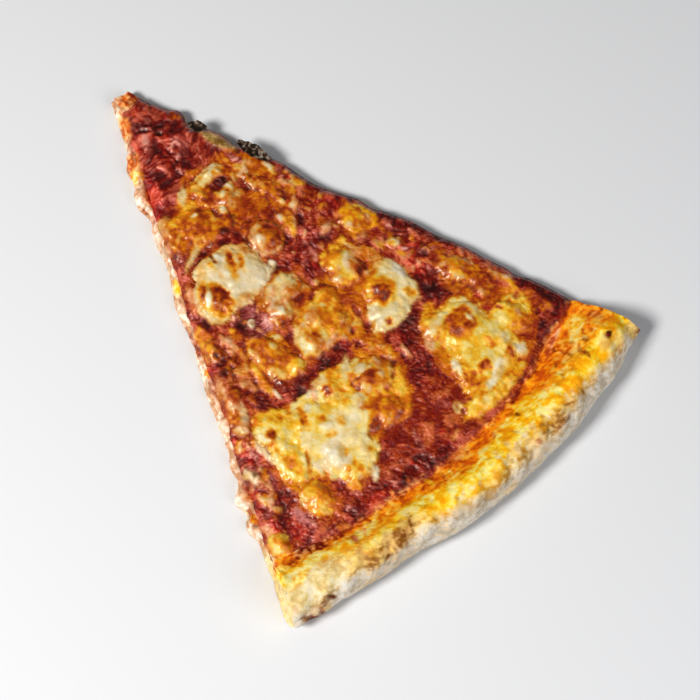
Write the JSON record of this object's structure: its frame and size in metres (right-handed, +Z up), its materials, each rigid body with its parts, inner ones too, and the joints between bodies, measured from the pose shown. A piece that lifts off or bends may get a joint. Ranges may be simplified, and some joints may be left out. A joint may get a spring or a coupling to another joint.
{
  "type": "cheese pizza slice",
  "caption": "Triangular slice of cheese pizza: flat dough base with a raised rim, crushed tomato sauce, melted browned cheese patches and charred basil scraps.",
  "frame": {"origin": "centre of the bounding box in plan, on the table plane under the flat base", "axes": "+X from the tip to the crust, +Y to the cut side on the left when looking from the tip to the crust, +Z up through the toppings"},
  "size_m": [0.198, 0.1528, 0.0178],
  "materials": {
    "crust": "baked dough, floury outside, oily on the rim's inner slope",
    "tomato_sauce": "wet crushed tomato",
    "cheese_white": "melted pale cheese with brown blisters",
    "cheese_gold": "melted golden cheese",
    "cheese_amber": "thin browned cheese",
    "charred_basil": "charred leaf"
  },
  "bodies": {
    "root": {"crust": "crust", "tomato_sauce": "tomato_sauce", "cheese_loop_near_tip": "cheese_white", "cheese_amber_left": "cheese_amber", "cheese_bubble_small": "cheese_amber", "cheese_strip_upper": "cheese_amber", "cheese_white_left": "cheese_white", "cheese_pale_middle": "cheese_white", "cheese_gold_middle": "cheese_gold", "cheese_olive_middle": "cheese_amber", "cheese_yellow_middle": "cheese_gold", "cheese_white_middle": "cheese_white", "cheese_yellow_upper_edge": "cheese_gold", "cheese_amber_upper_edge": "cheese_gold", "cheese_by_crust": "cheese_gold", "cheese_wide_patch": "cheese_white", "cheese_gold_lower": "cheese_gold", "cheese_amber_lower_edge": "cheese_gold", "cheese_cream_lower_edge": "cheese_white", "cheese_knob_by_rim": "cheese_white", "charred_basil_long": "charred_basil", "charred_basil_short": "charred_basil"}
  },
  "joints": []
}
